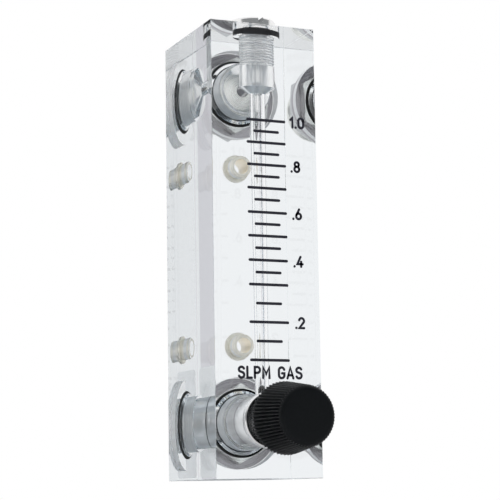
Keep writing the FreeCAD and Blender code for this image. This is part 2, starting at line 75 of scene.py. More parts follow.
TUBE_Y = centre_of("float_ball")[1]
PORTS = {name: centre_of(name + "_adapter")[2] for name in ("upper", "lower")}
INSERTS = {name: centre_of(name + "_mount_insert")[2] for name in ("upper", "lower")}

# Radii of the block's hollows, in millimetres, and the rise of a drill's point over its radius.
POCKET, GLAND, TAPPED, DRILLED, PASSAGE = 10.4, 7.25, 6.35, 5.75, 1.6
SEAT, CHAMBER, TUBE_HEAD, TUBE_FOOT = 5.6, 4.25, 1.9, 1.6
DRILL_POINT = math.tan(math.radians(31.0))

# Start, end and depth of the threads that two pieces share, in millimetres.
PORT_THREAD = (3.9, 10.0, 0.397)
PLUG_THREAD = (92.4, 99.1, 0.318)

# Turns that bring a hollow's own axis to Y, about which the tool marks run.
Y_TO_Y = (0.0, 0.0, 0.0)
Z_TO_Y = (-TURN / 4, 0.0, 0.0)

PLASTIC_IOR = 1.585
PLASTIC_DENSITY = 30.0

# ------------ surfaces


def eased(profile, easing=0.12, steps=4):
    """Ease the corners of an (along, radius) profile, all in millimetres.

    Each corner C turns into the curve (1-t)^2 A + 2t(1-t) C + t^2 B, where A and B lie on the two
    sides next to it, a little way off. One more point outside A and B keeps the sides flat.
    """
    corners = np.array(profile, dtype=float)
    t = np.linspace(0.0, 1.0, steps)[:, None]
    pieces = [corners[:1]]
    for before, corner, after in zip(corners, corners[1:], corners[2:]):
        back = before - corner
        on = after - corner
        room = min(easing, 0.4 * np.linalg.norm(back), 0.4 * np.linalg.norm(on))
        back = back / np.linalg.norm(back)
        on = on / np.linalg.norm(on)
        start, end = corner + back * room, corner + on * room
        curve = (1 - t) ** 2 * start + 2 * t * (1 - t) * corner + t ** 2 * end
        pieces += [start[None] + back * 0.1 * room, curve, end[None] + on * 0.1 * room]
    pieces.append(corners[-1:])
    return np.concatenate(pieces)


def dense(profile, start, end, step):
    """Add rows at an even step between two stations of a profile, on its straight sides."""
    profile = np.asarray(profile, dtype=float)
    pieces = [profile[:1]]
    for a, b in zip(profile, profile[1:]):
        inside = max(start, min(a[0], b[0])) < min(end, max(a[0], b[0]))
        count = int(abs(b[0] - a[0]) / step) if inside else 0
        share = np.linspace(0.0, 1.0, count + 2)[1:, None]
        pieces.append(a + (b - a) * share)
    return np.concatenate(pieces)


def thread_cut(theta, along, start, end, pitch, depth):
    """How deep a screw thread cuts: a triangle wave of along / pitch less the turn made so far,
    times depth, fading in and out over half a pitch at both ends."""
    phase = (along / pitch - theta / TURN) % 1.0
    wave = 1.0 - np.abs(2.0 * phase - 1.0)
    fade = np.clip(np.minimum(along - start, end - along) / (0.5 * pitch), 0.0, 1.0)
    return depth * wave * fade


def hex_radius(theta, across, twist=0.0):
    """The radius of a hexagon at each angle: half its width over the cosine of the angle from
    the nearest flat's middle."""
    from_flat = (theta - twist) % (TURN / 6) - TURN / 12
    return across / 2 / np.cos(from_flat)


def grid_faces(rows, columns, closed_rows=False):
    """The corner numbers of the quads on a grid that wraps round its columns."""
    last = rows if closed_rows else rows - 1
    i, j = np.meshgrid(np.arange(last), np.arange(columns), indexing="ij")
    down, side = (i + 1) % rows, (j + 1) % columns
    quads = [i * columns + j, i * columns + side, down * columns + side, down * columns + j]
    return np.stack(quads, axis=-1).reshape(-1, 4)


def fan_faces(ring, hub, flip):
    """Triangles from a ring of corners to a hub."""
    on = np.roll(ring, -1)
    triple = [on, ring, np.full_like(ring, hub)] if flip else [ring, on, np.full_like(ring, hub)]
    return np.stack(triple, axis=-1)


AXES = {
    "y": (np.array([0.0, 0, 1]), np.array([1.0, 0, 0]), np.array([0.0, 1, 0])),
    "z": (np.array([1.0, 0, 0]), np.array([0.0, 1, 0]), np.array([0.0, 0, 1])),
    "x": (np.array([0.0, 1, 0]), np.array([0.0, 0, 1]), np.array([1.0, 0, 0])),
}


def lathe(profile, axis, centre, sides=96, shape=None, closed=False):
    """A surface of revolution: point = centre + r cos(theta) u + r sin(theta) v + along w.

    The profile gives (along, radius) in millimetres, shape(theta, along, radius) may change the
    radius, and the ends close on the axis unless the profile is a closed loop.
    """
    profile = np.asarray(profile, dtype=float)
    u, v, w = AXES[axis]
    if not closed:
        first, last = profile[0], profile[-1]
        profile = profile[(1 if first[1] < 1e-6 else 0):(-1 if last[1] < 1e-6 else None)]
    theta = np.arange(sides) * TURN / sides
    along = np.repeat(profile[:, :1], sides, axis=1)
    radius = np.repeat(profile[:, 1:], sides, axis=1)
    theta = np.repeat(theta[None], len(profile), axis=0)
    if shape is not None:
        radius = shape(theta, along, radius)
    points = (radius * np.cos(theta))[..., None] * u + (radius * np.sin(theta))[..., None] * v
    points = points + along[..., None] * w
    points = points.reshape(-1, 3)
    faces = [grid_faces(len(profile), sides, closed)]
    if not closed:
        hubs = np.array([first[0] * w, last[0] * w])
        base = len(points)
        points = np.concatenate([points, hubs])
        faces.append(fan_faces(np.arange(sides), base, True))
        faces.append(fan_faces(np.arange(base - sides, base), base + 1, False))
    return np.asarray(centre) + points * MM, faces


def torus(centre, axis, radius, wire, squeeze, sides=128, around=32):
    """A ring: a squeezed circle carried round a circle of the ring's radius. The sine and cosine
    are raised to powers below one, sign kept, which flattens the wire where it is pressed."""
    phi = np.arange(around) * TURN / around
    rise = np.sign(np.sin(phi)) * np.abs(np.sin(phi)) ** squeeze[0]
    reach = np.sign(np.cos(phi)) * np.abs(np.cos(phi)) ** squeeze[1]
    profile = np.stack([wire[0] * rise, radius + wire[1] * reach], axis=-1)
    return lathe(profile, axis, centre, sides, closed=True)


def rounded_outline(half_wide, half_high, radius, steps=6):
    """A rectangle with round corners: each corner's centre plus a quarter circle."""
    angle = np.linspace(0.0, TURN / 4, steps)
    quarter = np.arange(4)[:, None] * TURN / 4
    turned = quarter + angle[None]
    sign_x = np.sign(np.cos(quarter + TURN / 8))
    sign_y = np.sign(np.sin(quarter + TURN / 8))
    x = sign_x * (half_wide - radius) + radius * np.cos(turned)
    y = sign_y * (half_high - radius) + radius * np.sin(turned)
    return np.stack([x, y], axis=-1).reshape(-1, 2)


def rounded_box(low, high, radius, steps=6):
    """A box with round edges: its outline shrinks by r - r sin(a) while its height rises by
    r - r cos(a), at both ends."""
    half = (np.array(high) - np.array(low)) / 2
    centre = (np.array(high) + np.array(low)) / 2
    angle = np.linspace(0.0, TURN / 4, steps)
    inset = radius * (1 - np.sin(angle)) * 0.999
    rise = radius * (1 - np.cos(angle))
    heights = np.concatenate([-half[2] + rise, (half[2] - rise)[::-1]])
    insets = np.concatenate([inset, inset[::-1]])
    rows = []
    for height, shrink in zip(heights, insets):
        outline = rounded_outline(half[0] - shrink, half[1] - shrink, radius - shrink, steps)
        rows.append(np.column_stack([outline, np.full(len(outline), height)]))
    columns = len(rows[0])
    points = np.concatenate(rows) + centre
    last = len(points) - columns
    caps = [tuple(range(columns)), tuple(range(last, len(points)))]
    return points, [grid_faces(len(rows), columns), caps]


def plate(outline, low, high):
    """A flat plate: an outline in x and z, carried along y from low to high."""
    count = len(outline)
    points = np.zeros((2 * count, 3))
    points[:count, [0, 2]] = outline
    points[count:, [0, 2]] = outline
    points[:count, 1] = low
    points[count:, 1] = high
    caps = [tuple(range(count)), tuple(range(count, 2 * count))]
    return points, [grid_faces(2, count), caps]


# ------------ mesh objects


def new_object(name, shells, sharp=30.0):
    """Put (points, faces) shells in a mesh, faces outward, smooth but for sharp edges."""
    points, faces, base = [], [], 0
    for shell_points, shell_faces in shells:
        for group in shell_faces:
            faces += [tuple(int(corner) + base for corner in face) for face in group]
        points.append(shell_points)
        base += len(shell_points)
    mesh = bpy.data.meshes.new(name)
    mesh.from_pydata(np.concatenate(points).tolist(), [], faces)
    face_outward(mesh)
    finish_shading(mesh, sharp)
    piece = bpy.data.objects.new(name, mesh)
    bpy.context.scene.collection.objects.link(piece)
    return piece


def face_outward(mesh):
    """Turn every face outward."""
    work = bmesh.new()
    work.from_mesh(mesh)
    bmesh.ops.recalc_face_normals(work, faces=work.faces)
    work.to_mesh(mesh)
    work.free()


def finish_shading(mesh, sharp):
    """Smooth shading that stops at edges sharper than the given angle in degrees."""
    mesh.polygons.foreach_set("use_smooth", np.ones(len(mesh.polygons), dtype=bool))
    mesh.set_sharp_from_angle(angle=math.radians(sharp))
    mesh.update()


def cut(piece, tools, sharp=30.0):
    """Cut away each tool from a piece, keep the tools' finish on the new walls, drop the tools."""
    for tool in tools:
        step = piece.modifiers.new("cut", "BOOLEAN")
        step.operation = "DIFFERENCE"
        step.solver = "EXACT"
        step.material_mode = "TRANSFER"
        step.object = tool
        depsgraph = bpy.context.evaluated_depsgraph_get()
        result = piece.evaluated_get(depsgraph)
        cut_mesh = bpy.data.meshes.new_from_object(result, depsgraph=depsgraph)
        piece.modifiers.remove(step)
        old = piece.data
        piece.data = cut_mesh
        bpy.data.meshes.remove(old)
        bpy.data.objects.remove(tool)
    piece.data.name = piece.name
    finish_shading(piece.data, sharp)


def settle(piece, body, slot, *nodes):
    """Let a finished piece ride on its body and stand for its CAD nodes; slot is not used."""
    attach(piece, body)
    if nodes:
        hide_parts(*nodes)


def paint(piece, *materials):
    """Give a piece its materials."""
    piece.data.materials.clear()
    for material in materials:
        piece.data.materials.append(material)


# ------------ finishes


def put(tree, kind, inputs=None, **settings):
    """Add a shader node, with settings as attributes and inputs as numbers or links."""
    node = tree.nodes.new(kind)
    for key, value in settings.items():
        setattr(node, key, value)
    for key, value in (inputs or {}).items():
        if isinstance(value, bpy.types.NodeSocket):
            tree.links.new(value, node.inputs[key])
        else:
            node.inputs[key].default_value = value
    return node


def calculate(tree, operation, first, second):
    """The result of a math node."""
    return put(tree, "ShaderNodeMath", {0: first, 1: second}, operation=operation).outputs[0]


def blend(tree, factor, *ends):
    """Two colours mixed by a factor, each written out or taken from another node."""
    first, second = [end if isinstance(end, bpy.types.NodeSocket) else (*end, 1.0) for end in ends]
    inputs = {"Factor": factor, 6: first, 7: second}
    return put(tree, "ShaderNodeMix", inputs, data_type="RGBA").outputs[2]


def handled_pattern(tree, where, grain):
    """Finger marks and faint rub: two noises of different grain, multiplied to patches."""
    broad = put(tree, "ShaderNodeTexNoise", {"Vector": where, "Scale": grain, "Detail": 3.0})
    finer = calculate(tree, "MULTIPLY", grain, 14.0)
    fine = put(tree, "ShaderNodeTexNoise", {"Vector": where, "Scale": finer, "Detail": 2.0})
    return calculate(tree, "MULTIPLY", broad.outputs[0], fine.outputs[0])


def turned_pattern(tree, where, lines):
    """Tool marks of a lathe: a noise that changes only with distance along and from the axis."""
    split = put(tree, "ShaderNodeSeparateXYZ", {0: where}).outputs
    squares = [calculate(tree, "MULTIPLY", split[key], split[key]) for key in "XZ"]
    away = calculate(tree, "POWER", calculate(tree, "ADD", *squares), 0.5)
    sweep = calculate(tree, "ADD", split["Y"], away)
    station = calculate(tree, "MULTIPLY", sweep, calculate(tree, "MULTIPLY", lines, 1000.0))
    inputs = {"W": station, "Scale": 1.0, "Detail": 2.0}
    return put(tree, "ShaderNodeTexNoise", inputs, noise_dimensions="1D").outputs[0]


# Each shared pattern: the name of its grain, what draws it, and its own least and most.
PATTERNS = {
    "handled_surface": ("Grain", handled_pattern, 0.12, 0.42),
    "turned_marks": ("Lines per mm", turned_pattern, 0.3, 0.7),
}


def pattern_group(name):
    """A pattern's node group: Value spreads it over Low to High, and Height is the pattern."""
    grain, draw, least, most = PATTERNS[name]
    tree = bpy.data.node_groups.get(name)
    if tree:
        return tree
    tree = bpy.data.node_groups.new(name, "ShaderNodeTree")
    for label in ("Vector", grain, "Low", "High"):
        kind = "NodeSocketVector" if label == "Vector" else "NodeSocketFloat"
        tree.interface.new_socket(label, in_out="INPUT", socket_type=kind)
    for label in ("Value", "Height"):
        tree.interface.new_socket(label, in_out="OUTPUT", socket_type="NodeSocketFloat")
    given = tree.nodes.new("NodeGroupInput").outputs
    out = tree.nodes.new("NodeGroupOutput").inputs
    height = draw(tree, given["Vector"], given[grain])
    inputs = {"Value": height, "From Min": least, "From Max": most,
              "To Min": given["Low"], "To Max": given["High"]}
    tree.links.new(put(tree, "ShaderNodeMapRange", inputs).outputs[0], out["Value"])
    tree.links.new(height, out["Height"])
    return tree


def pattern(tree, name, where, grain, low, high):
    """Put a pattern's group in a tree, and give its Value and Height."""
    inputs = {"Vector": where, PATTERNS[name][0]: grain, "Low": low, "High": high}
    node = put(tree, "ShaderNodeGroup", inputs, node_tree=pattern_group(name))
    return node.outputs["Value"], node.outputs["Height"]


def new_material(name):
    """A material with its Principled shader, its tree and the object coordinates."""
    material = bpy.data.materials.new(name)
    material.use_nodes = True
    tree = material.node_tree
    shader = tree.nodes["Principled BSDF"]
    place = tree.nodes.new("ShaderNodeTexCoord")
    return material, tree, shader, place.outputs["Object"]


def centred(tree, coordinates, centre, spin):
    """Move a pattern's origin to a piece's own centre, in metres, and turn its axis to Y."""
    shift = {0: coordinates, 1: tuple(-value for value in centre)}
    moved = put(tree, "ShaderNodeVectorMath", shift, operation="ADD").outputs[0]
    return put(tree, "ShaderNodeMapping", {"Vector": moved, "Rotation": spin}).outputs[0]


def dress(tree, shader, rough, height, strength, distance):
    """Give a shader its roughness and its relief."""
    inputs = {"Height": height, "Strength": strength, "Distance": distance}
    tree.links.new(rough, shader.inputs["Roughness"])
    tree.links.new(put(tree, "ShaderNodeBump", inputs).outputs[0], shader.inputs["Normal"])


def clear_plastic(name, low, high, tint, bump, clear=1.0, centre=None, spin=Y_TO_Y):
    """Clear polycarbonate, polished or, where a tool has cut it, milky. A centre adds fine rings
    about the hollow's axis."""
    material, tree, shader, where = new_material(name)
    rough, height = pattern(tree, "handled_surface", where, 90.0, low, high)
    shader.inputs["Base Color"].default_value = (1.0, 1.0, 1.0, 1.0)
    shader.inputs["Transmission Weight"].default_value = clear
    shader.inputs["IOR"].default_value = PLASTIC_IOR
    dress(tree, shader, rough, height, bump, 0.00002)
    if centre:
        spot = centred(tree, where, centre, spin)
        rings = pattern(tree, "turned_marks", spot, 2.2, 0.0, 1.0)[0]
        tone = blend(tree, rings, (0.62, 0.63, 0.65), (1.0, 1.0, 1.0))
        tree.links.new(tone, shader.inputs["Base Color"])
    absorb = {"Color": (*tint, 1.0), "Density": PLASTIC_DENSITY}
    thick = put(tree, "ShaderNodeVolumeAbsorption", absorb).outputs[0]
    tree.links.new(thick, tree.nodes["Material Output"].inputs["Volume"])
    return material


def turned_metal(name, colour, centre, spin, lines, low, high, bump, painted_shade_radius=0.0):
    """Metal turned on a lathe, with fine rings of tool marks round the given centre, and painted
    shade: dark grey inside its bore."""
    material, tree, shader, where = new_material(name)
    spot = centred(tree, where, centre, spin)
    rough, height = pattern(tree, "turned_marks", spot, lines, low, high)
    patches = pattern(tree, "handled_surface", where, 150.0, 0.86, 1.0)[0]
    tone = blend(tree, patches, [0.8 * c for c in colour], colour)
    flat = {0: spot, 1: (1.0, 0.0, 1.0)}
    away = put(tree, "ShaderNodeVectorMath", flat, operation="MULTIPLY").outputs[0]
    reach = put(tree, "ShaderNodeVectorMath", {0: away}, operation="LENGTH").outputs["Value"]
    # Painted shade: inside the bore's radius the colour turns dark grey.
    inside = calculate(tree, "LESS_THAN", reach, painted_shade_radius)
    tree.links.new(blend(tree, inside, tone, (0.16, 0.16, 0.165)), shader.inputs["Base Color"])
    shader.inputs["Metallic"].default_value = 1.0
    dress(tree, shader, rough, height, bump, 0.00003)
    return material


def solid_finish(name, dark, light, grain, low, high, bump, specular=0.5):
    """A solid moulded or rubber finish, speckled between two tones."""
    material, tree, shader, where = new_material(name)
    rough = pattern(tree, "handled_surface", where, grain, low, high)[0]
    inputs = {"Vector": where, "Scale": grain * 9.0, "Detail": 4.0}
    speckle = put(tree, "ShaderNodeTexNoise", inputs).outputs[0]
    tree.links.new(blend(tree, speckle, dark, light), shader.inputs["Base Color"])
    shader.inputs["Specular IOR Level"].default_value = specular
    dress(tree, shader, rough, speckle, bump, 0.00004)
    return material


# ------------ settings


def length(name, about, value):
    """A length in metres that shows in the scene's unit."""
    return FloatProperty(name=name, description=about, default=value, min=0.0, unit="LENGTH",
                         subtype="DISTANCE", precision=5)


def colour(name, about, value):
    """A colour."""
    return FloatVectorProperty(name=name, description=about, default=value, min=0.0, max=1.0,
                               size=3, subtype="COLOR")


class BlockSettings(bpy.types.PropertyGroup):
    """Sizes and tint of the clear block."""
    edge: length("Edge round", "Radius of the block's polished edges", 0.12 * MM)
    port_pitch: length("Port thread pitch", "Pitch of the tapped ports", 0.794 * MM)
    plug_pitch: length("Plug thread pitch", "Pitch of the plug's tapped chamber", 0.635 * MM)
    tint: colour("Tint", "Colour that a long way through the block takes", (0.875, 0.903, 0.923))


class KnobSettings(bpy.types.PropertyGroup):
    """Shape and tone of the knob."""
    flutes: IntProperty(name="Flutes", description="Number of flutes", default=60, min=12, max=120)
    flute_depth: length("Flute depth", "Depth of each flute", 0.5 * MM)
    tone: colour("Tone", "Colour of the moulded plastic", (0.0035, 0.0045, 0.0055))


class ScaleSettings(bpy.types.PropertyGroup):
    """Print on the front face."""
    long_mark: length("Long mark", "Length of the marks at the tenths", 9.55 * MM)
    short_mark: length("Short mark", "Length of the marks between the tenths", 6.32 * MM)
    line: length("Line", "Thickness of the marks", 0.63 * MM)
    figure: length("Figure height", "Height of the numbers", 2.75 * MM)
    capital: length("Capital height", "Height of the unit's capitals", 2.9 * MM)
    pen: length("Pen", "Width of the letters' strokes", 0.56 * MM)
    legend: StringProperty(name="Unit", description="Unit and medium", default="SLPM GAS")
    ink: colour("Ink", "Colour of the print", (0.010, 0.010, 0.022))


class RotameterSettings(bpy.types.PropertyGroup):
    """All settings."""
    block: PointerProperty(type=BlockSettings)
    knob: PointerProperty(type=KnobSettings)
    scale: PointerProperty(type=ScaleSettings)


def settings():
    """The scene's settings."""
    return bpy.context.scene.rotameter


# ------------ threads shared by two pieces


def threaded(theta, along, radius, thread, pitch):
    """A radius less the thread's cut, between the thread's ends."""
    start, end, depth = thread
    inside = (along > start) & (along < end)
    return radius - inside * thread_cut(theta, along, start, end, pitch / MM, depth)


def port_thread(theta, along, radius):
    """The ports' thread, on the block's wall and on the adapter alike."""
    return threaded(theta, along, radius, PORT_THREAD, settings().block.port_pitch)


def plug_thread(theta, along, radius):
    """The plug's thread, on the chamber's wall and on the plug alike."""
    return threaded(theta, along, radius, PLUG_THREAD, settings().block.plug_pitch)


# ------------ the block


def port_profile(through):
    """One port's hollow from the back: pocket, gland, thread and drilling."""
    back, front = BACK / MM, FRONT / MM
    points = [(back + 1, 0), (back + 1, POCKET), (back - 2.6, POCKET), (back - 2.6, GLAND),
              (back - 3.55, GLAND), (back - 4.3, 6.62), (back - 4.3, TAPPED),
              (back - 10.4, TAPPED), (back - 10.4, DRILLED)]
    if through:
        return points + [(front - 1, DRILLED), (front - 1, 0)]
    cone = (DRILLED - PASSAGE) * DRILL_POINT
    return points + [(back - 12.4, DRILLED), (back - 12.4 - cone, PASSAGE),
                     (TUBE_Y / MM, PASSAGE), (TUBE_Y / MM, 0)]


def tube_profile():
    """The plug's seat and chamber and the tapered tube, from the top."""
    top = TOP / MM
    cone = (CHAMBER - TUBE_HEAD) * DRILL_POINT
    return [(top + 1, 0), (top + 1, SEAT), (top - 2.4, SEAT), (top - 2.4, CHAMBER),
            (87.6, CHAMBER), (87.6 - cone, TUBE_HEAD), (17.45, TUBE_FOOT), (12.7, TUBE_FOOT),
            (12.7, 0)]


def insert_profile():
    """One mount insert's hole from the back, with its flange's recess."""
    back = BACK / MM
    return [(back + 1, 0), (back + 1, 3.17), (back - 0.78, 3.17), (back - 0.78, 2.47),
            (back - 5.97, 2.47), (back - 5.97, 0)]


def frost(tool, name):
    """Give the walls of a hollow their finish: polished 0, tapped 1, sawn 2, drilled 3."""
    count = len(tool.data.polygons)
    spots, ways = np.zeros(count * 3), np.zeros(count * 3)
    tool.data.polygons.foreach_get("center", spots)
    tool.data.polygons.foreach_get("normal", ways)
    spots, ways = spots.reshape(-1, 3) / MM, ways.reshape(-1, 3)
    if "tube" in name:
        height = spots[:, 2]
        finish = np.where(height < PLUG_THREAD[0], 3 * (height > 84.5), 1 * (height < 99.15))
    elif "insert" in name:
        finish = np.where(spots[:, 1] < BACK / MM - 5.9, 0, 2)
    else:
        depth, pocket = spots[:, 1], BACK / MM - 2.7
        away = np.hypot(spots[:, 0], spots[:, 2] - PORTS[name[5:]] / MM)
        wall = np.abs(ways[:, 1]) < 0.97
        finish = np.where(depth > PORT_THREAD[0] - 0.2, 1 * wall, np.where(away > 4.3, 3, 0))
        finish = np.where(wall & (depth > pocket), 2, finish)
        finish = np.where((depth > PORT_THREAD[1]) & (depth < pocket), 0, finish)
    tool.data.polygons.foreach_set("material_index", finish.astype(np.int32))


class ROTAMETER_OT_block(bpy.types.Operator):
    """Make the bored and tapped clear block"""
    bl_idname = "rotameter.block"
    bl_label = "Clear Block"

    def execute(self, context):
        chosen = settings().block
        tint = chosen.tint
        polished = clear_plastic("clear_polished", 0.0, 0.012, tint, 0.01)
        spots = {name: ((0, 0, height), Y_TO_Y) for name, height in PORTS.items()}
        spots["tube"] = ((0, TUBE_Y, TOP), Z_TO_Y)
        tapped = {name: clear_plastic("clear_tapped_" + name, 0.10, 0.20, tint, 0.1, 0.45, *spot)
                  for name, spot in spots.items()}
        drilled = clear_plastic("clear_drilled", 0.12, 0.22, tint, 0.05, 0.7)
        sawn = clear_plastic("clear_sawn", 0.3, 0.45, tint, 0.2, 0.25)
        block = new_object("clear_block", [rounded_box(BLOCK_LOW, BLOCK_HIGH, chosen.edge)])
        paint(block, polished)
        hollows = {}
        for name, height in PORTS.items():
            profile = dense(port_profile(name == "lower"), PORT_THREAD[0], PORT_THREAD[1], 0.05)
            hollows[name] = lathe(profile, "y", (0, 0, height), 144, port_thread)
        profile = dense(tube_profile(), PLUG_THREAD[0], PLUG_THREAD[1], 0.04)
        hollows["tube"] = lathe(profile, "z", (0, TUBE_Y, 0), 192, plug_thread)
        for name, height in INSERTS.items():
            hollows["insert_" + name] = lathe(insert_profile(), "y", (0, 0, height), 96)
        tools = [new_object("tool_" + name, [shell]) for name, shell in hollows.items()]
        for tool in tools:
            paint(tool, polished, tapped.get(tool.name[5:], drilled), sawn, drilled)
            frost(tool, tool.name)
        cut(block, tools, 8.0)
        settle(block, "meter_body", "clear_polycarbonate", "body_block")
        return {"FINISHED"}


# ------------ the plug


class ROTAMETER_OT_plug(bpy.types.Operator):
    """Make the slotted ball stop plug"""
    bl_idname = "rotameter.plug"
    bl_label = "Ball Stop Plug"

    def execute(self, context):
        top = TOP / MM
        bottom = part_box("top_plug")[0][2] / MM
        outline = [(bottom, 0), (bottom, 0.8), (top - 12.8, 0.8), (top - 12.8, 2.2),
                   (top - 8.8, 2.2), (top - 8.8, 3.85), (top - 8.45, 4.2), (top - 2.4, 4.2),
                   (top - 2.4, 3.9), (top - 0.7, 3.9), (top - 0.7, 5.4), (top + 1.65, 5.4),
                   (top + 2.0, 5.05), (top + 2.0, 0)]
        profile = dense(eased(outline, 0.15), top - 8.8, top - 2.4, 0.09)
        plug = new_object("stop_plug", [lathe(profile, "z", (0, TUBE_Y, 0), 144, plug_thread)])
        steel = turned_metal("plug_polished", (0.88, 0.88, 0.88), (0, TUBE_Y, TOP), Z_TO_Y,
                             5.0, 0.12, 0.26, 0.10)
        paint(plug, steel)
        low = (-0.6 * MM, TUBE_Y - 7 * MM, TOP + 0.7 * MM)
        high = (0.6 * MM, TUBE_Y + 7 * MM, TOP + 4 * MM)
        slot = new_object("tool_slot", [rounded_box(low, high, 0.1 * MM)])
        paint(slot, steel)
        cut(plug, [slot])
        settle(plug, "meter_body", "polished_metal", "top_plug")
        return {"FINISHED"}


# ------------ the adapters


def adapter_shape(theta, along, radius):
    """The adapter's hexagon, port thread, panel thread and pipe thread."""
    back = BACK / MM
    hexed = (along > back - 2.61) & (along < back + 0.01) & (radius > 7.5)
    flats = hex_radius(theta, 15.875, math.radians(2.0))
    radius = np.where(hexed, np.minimum(radius, flats), radius)
    outside = radius > 5.55
    radius = np.where(outside, port_thread(theta, along, radius), radius)
    panel = thread_cut(theta, along, back + 1.0, back + 10.8, 1.411, 0.7)
    pipe = thread_cut(theta, along, back + 2.7, back + 10.6, 0.941, -0.35)
    radius = np.where((along > back + 0.5) & (radius > 6.5), radius - panel, radius)
    return np.where((along > back + 2.6) & (radius < 4.5), radius - pipe, radius)


class ROTAMETER_OT_adapters(bpy.types.Operator):
    """Make the two screwed adapters at the back"""
    bl_idname = "rotameter.adapters"
    bl_label = "Adapters"

    def execute(self, context):
        back = BACK / MM
        loop = eased([(4.7, 4.0), (4.7, 5.9), (5.1, 6.3), (10.0, 6.3), (10.0, 5.5), (11.7, 5.5),
                      (11.7, 7.94), (12.2, 9.17), (back - 0.5, 9.17), (back, 7.94), (back, 7.14),
                      (back + 10.7, 7.14), (back + 11.1, 6.74), (back + 11.1, 5.0),
                      (back + 10.3, 4.37), (back + 2.6, 4.37), (back + 2.6, 2.5), (4.7, 2.5),
                      (4.7, 3.99)], 0.12)
        loop = dense(dense(loop, 4.7, 10.0, 0.12), back, back + 11.1, 0.15)
        for name, height in PORTS.items():
            spot = (0, 0, height)
            shell = lathe(loop, "y", spot, 144, adapter_shape, closed=True)
            adapter = new_object(name + "_fitting", [shell])
            # The last number, 2.6 mm, is the radius within which the bore gets painted shade.
            paint(adapter, turned_metal(name + "_adapter_metal", (0.86, 0.86, 0.83), spot, Y_TO_Y,
                                        4.0, 0.2, 0.36, 0.15, 2.6 * MM))
            settle(adapter, "meter_body", "satin_metal", name + "_adapter")
        return {"FINISHED"}


# ------------ the seals

# Each seal: axis, body, the powers that squeeze its wire, its shift along the axis in
# millimetres, and how flat its wire is.
SEALS = {
    "plug_o_ring": ("z", "meter_body", (0.22, 0.22), 0.0, 1.0),
    "upper_adapter_o_ring": ("y", "meter_body", (1.0, 0.6), 0.2, 0.75),
    "lower_adapter_o_ring": ("y", "meter_body", (1.0, 0.6), 0.2, 0.75),
    "bonnet_front_o_ring": ("y", "meter_body", (0.7, 0.7), 0.0, 1.0),
    "bonnet_back_o_ring": ("y", "meter_body", (0.7, 0.7), 0.0, 1.0),
    "stem_o_ring": ("y", "stem_seal", (1.0, 1.0), 0.0, 0.95),
}


class ROTAMETER_OT_seals(bpy.types.Operator):
    """Make the black O-rings"""
    bl_idname = "rotameter.seals"
    bl_label = "O-Rings"

    def execute(self, context):
        rubber = solid_finish("nitrile_rubber", (0.003, 0.003, 0.005), (0.007, 0.007, 0.010),
                              400.0, 0.35, 0.55, 0.3, 0.12)
        for node, (axis, body, squeeze, shift, flat) in SEALS.items():
            low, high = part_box(node)
            index = "xyz".index(axis)
            wire = (high[index] - low[index]) / 2 / MM
            outer = (high[0] - low[0]) / 2 / MM
            centre = centre_of(node)
            centre[index] += shift * MM
            grip = 0.0 if node == "stem_o_ring" else 0.07
            ring = torus(centre, axis, outer - wire, (wire * flat, wire + grip), squeeze)
            seal = new_object(node.replace("_o_ring", "_seal"), [ring])
            paint(seal, rubber)
            settle(seal, body, "seal_rubber", node)
        return {"FINISHED"}


# ------------ the float


class ROTAMETER_OT_float(bpy.types.Operator):
    """Make the black glass ball"""
    bl_idname = "rotameter.float"
    bl_label = "Ball Float"

    def execute(self, context):
        low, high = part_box("float_ball")
        radius = (high[2] - low[2]) / 2 / MM
        angle = np.linspace(0.0, math.pi, 33)
        profile = np.stack([-radius * np.cos(angle), radius * np.sin(angle)], axis=-1)
        profile[0, 1] = profile[-1, 1] = 0.0
        ball = new_object("ball_float", [lathe(profile, "z", centre_of("float_ball"), 48)], 60.0)
        paint(ball, solid_finish("black_glass", (0.004, 0.004, 0.005), (0.008, 0.008, 0.009),
                                 300.0, 0.02, 0.08, 0.05))
        settle(ball, "float", "float_glass", "float_ball")
        return {"FINISHED"}


# ------------ the valve


class ROTAMETER_OT_valve(bpy.types.Operator):
    """Make the valve bonnet, with its cross hole"""
    bl_idname = "rotameter.valve"
    bl_label = "Valve"

    def execute(self, context):
        front = FRONT / MM
        height = centre_of("valve_bonnet")[2]
        outer = [(-9.0, 2.9), (-9.0, 3.7), (-8.7, 4.0), (-1.0, 4.0), (-1.0, 5.95), (-0.7, 6.25),
                 (0, 6.25), (0, 5.7), (1.1, 5.7), (1.1, 4.3), (3.0, 4.3), (3.0, 5.7),
                 (4.15, 5.7), (4.15, 4.75), (8.55, 4.75), (8.55, 5.7), (9.65, 5.7), (9.65, 4.3),
                 (11.55, 4.3), (11.55, 5.7), (12.65, 5.7), (14.25, 4.1), (14.25, 1.2),
                 (10.88, 1.2), (9.65, 2.43), (-9.0, 2.43), (-9.0, 2.89)]
        loop = eased([(front + along, radius) for along, radius in outer], 0.1)
        spot = (0, 0, height)
        bonnet = new_object("valve_body", [lathe(loop, "y", spot, 128, closed=True)])
        steel = turned_metal("valve_polished", (0.86, 0.86, 0.87), spot, Y_TO_Y,
                             5.0, 0.12, 0.25, 0.1)
        paint(bonnet, steel)
        cross = [(-8, 0), (-8, 1.0), (8, 1.0), (8, 0)]
        tool = new_object("tool_cross", [lathe(cross, "x", (0, FRONT + 6.35 * MM, height), 48)])
        paint(tool, steel)
        cut(bonnet, [tool])
        settle(bonnet, "meter_body", "polished_metal", "valve_bonnet")
        return {"FINISHED"}


# The knob's radius at its back and front, and the round of its nose, in millimetres.
KNOB_BACK, KNOB_FRONT, KNOB_NOSE = 7.94, 6.4, 1.3


